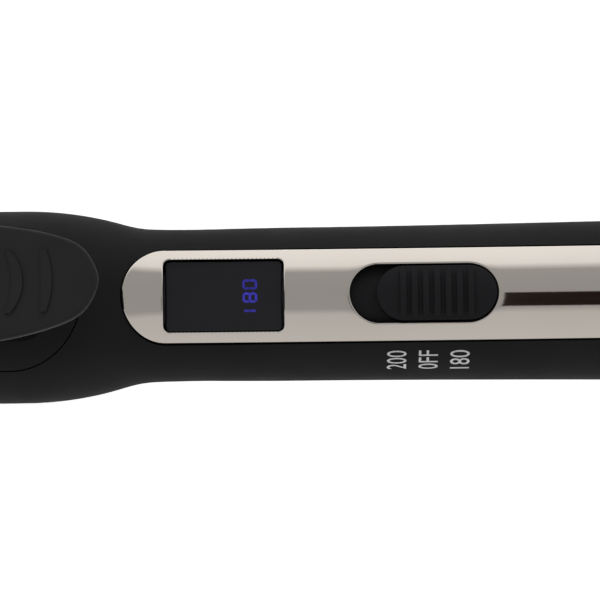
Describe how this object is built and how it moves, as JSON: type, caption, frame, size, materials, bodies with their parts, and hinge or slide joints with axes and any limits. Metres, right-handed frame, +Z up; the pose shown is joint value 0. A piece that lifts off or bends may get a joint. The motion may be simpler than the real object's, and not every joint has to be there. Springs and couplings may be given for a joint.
{
  "type": "curling iron",
  "caption": "Hair curling iron with a chrome barrel, a lever clamp, a metal inlay with a display window and a ribbed slide switch, and a wire stand.",
  "frame": {"origin": "midway along the iron, below its axis, at the level of the stand's foot", "axes": "+X along the iron towards the cord end, +Z up through the display face, +Y across"},
  "size_m": [0.35, 0.0384, 0.0674],
  "materials": {
    "soft_black": "soft-touch, fine grain",
    "hard_black": "moulded, fine spark texture",
    "knob_black": "satin",
    "pad_black": "satin",
    "champagne": "polished, warm plating",
    "smoke_lens": "polished, smoke tinted",
    "display_black": "dark display glass",
    "white_plastic": "moulded",
    "board_green": "solder mask",
    "component_black": "moulded",
    "switch_metal": "stamped",
    "screw_steel": "plated",
    "barrel_chrome": "polished",
    "heater_aluminium": "extruded",
    "heater_ceramic": "fired",
    "sensor_glass": "bead",
    "fuse_steel": "plated",
    "lead_sleeve": "glass fibre sleeve",
    "mica_brown": "heat-proof moulding",
    "spring_steel": "drawn wire",
    "stand_wire": "plated wire"
  },
  "bodies": {
    "handle": {"handle_upper_shell": "soft_black", "handle_lower_shell": "soft_black", "case_screws": "screw_steel", "inlay_trim": "champagne", "display_lens": "smoke_lens", "display_module": "display_black", "display_holder": "white_plastic", "circuit_board": "board_green", "board_components": "component_black", "board_screws": "screw_steel", "slide_switch_body": "switch_metal", "barrel": "barrel_chrome", "tip_insulator": "hard_black", "cool_tip": "hard_black", "heater_block_upper": "heater_aluminium", "heater_block_lower": "heater_aluminium", "ceramic_heater": "heater_ceramic", "temperature_sensor": "sensor_glass", "thermal_fuse": "fuse_steel", "heater_leads": "lead_sleeve", "barrel_collar": "hard_black", "barrel_holder": "mica_brown", "lever_base": "hard_black", "hinge_pin": "screw_steel", "clamp_spring": "spring_steel"},
    "clamp": {"clamp_blade": "barrel_chrome", "lever_arm": "hard_black", "clamp_rivets": "screw_steel", "lever_pad": "pad_black"},
    "slider": {"switch_slider": "knob_black", "switch_actuator": "component_black"},
    "gland": {"swivel_gland": "hard_black"},
    "stand_wire": {"stand": "stand_wire"}
  },
  "joints": [
    {"name": "clamp_hinge", "type": "hinge", "parent": "handle", "child": "clamp", "pos_m": [-0.007, 0, 0.0494], "axis": [0, 1, 0], "range_deg": [0, 17], "stiffness_Nm_per_rad": 0.6, "springref_deg": -20.05, "deforming": ["clamp_spring"]},
    {"name": "temperature_slide", "type": "slide", "parent": "handle", "child": "slider", "axis": [1, 0, 0], "range_m": [-0.0051, 0]},
    {"name": "cord_swivel", "type": "hinge", "parent": "handle", "child": "gland", "pos_m": [0.163, 0, 0.027], "axis": [1, 0, 0], "continuous": true},
    {"name": "stand_hinge", "type": "hinge", "parent": "handle", "child": "stand_wire", "pos_m": [-0.032, 0, 0.019], "axis": [0, 1, 0], "range_deg": [0, 72]}
  ]
}
